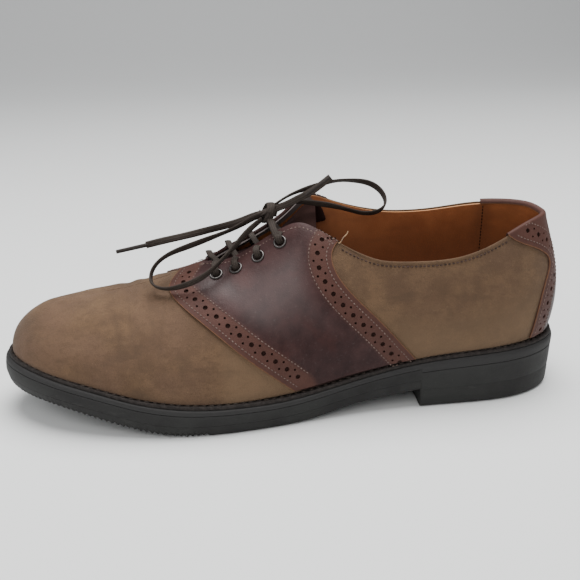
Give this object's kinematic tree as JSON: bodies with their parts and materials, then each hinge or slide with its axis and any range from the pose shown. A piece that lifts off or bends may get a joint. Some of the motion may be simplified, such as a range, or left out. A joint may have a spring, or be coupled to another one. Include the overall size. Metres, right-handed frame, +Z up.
{
  "type": "saddle shoe",
  "caption": "Laced low saddle shoe for the left foot: nubuck upper with a smooth leather saddle and counter, moulded rubber sole and heel, lace tied in a bow.",
  "frame": {"origin": "centre of the shoe's box in plan, on the floor that it stands on", "axes": "-Y towards the toe, +X towards the shoe's outer (left) side, +Z up"},
  "size_m": [0.1026, 0.3072, 0.1237],
  "materials": {
    "rubber": "near-black brown moulded rubber, matt",
    "welt_leather": "dark brown leather, stitched all round",
    "nubuck": "taupe nubuck, matt and mottled",
    "oxblood_leather": "dark oxblood smooth leather with a soft shine",
    "lining_leather": "orange-tan lining leather",
    "eyelet_metal": "darkened metal with a worn silvery rim",
    "lace_cotton": "dark brown waxed cotton"
  },
  "bodies": {
    "root": {"outsole": "rubber", "welt": "welt_leather", "insole": "lining_leather", "upper": "nubuck", "saddle": "oxblood_leather", "counter": "oxblood_leather", "tongue": "oxblood_leather", "eyelet_outer_1": "eyelet_metal", "eyelet_outer_2": "eyelet_metal", "eyelet_outer_3": "eyelet_metal", "eyelet_outer_4": "eyelet_metal", "eyelet_inner_1": "eyelet_metal", "eyelet_inner_2": "eyelet_metal", "eyelet_inner_3": "eyelet_metal", "eyelet_inner_4": "eyelet_metal", "lace_bar_1": "lace_cotton", "lace_bar_2": "lace_cotton", "lace_bar_3": "lace_cotton", "lace_bar_4": "lace_cotton", "lace_knot": "lace_cotton", "lace_loop_front": "lace_cotton", "lace_loop_rear": "lace_cotton", "lace_end_front": "lace_cotton", "lace_end_rear": "lace_cotton", "aglet_front": "lace_cotton", "aglet_rear": "lace_cotton"}
  },
  "joints": []
}
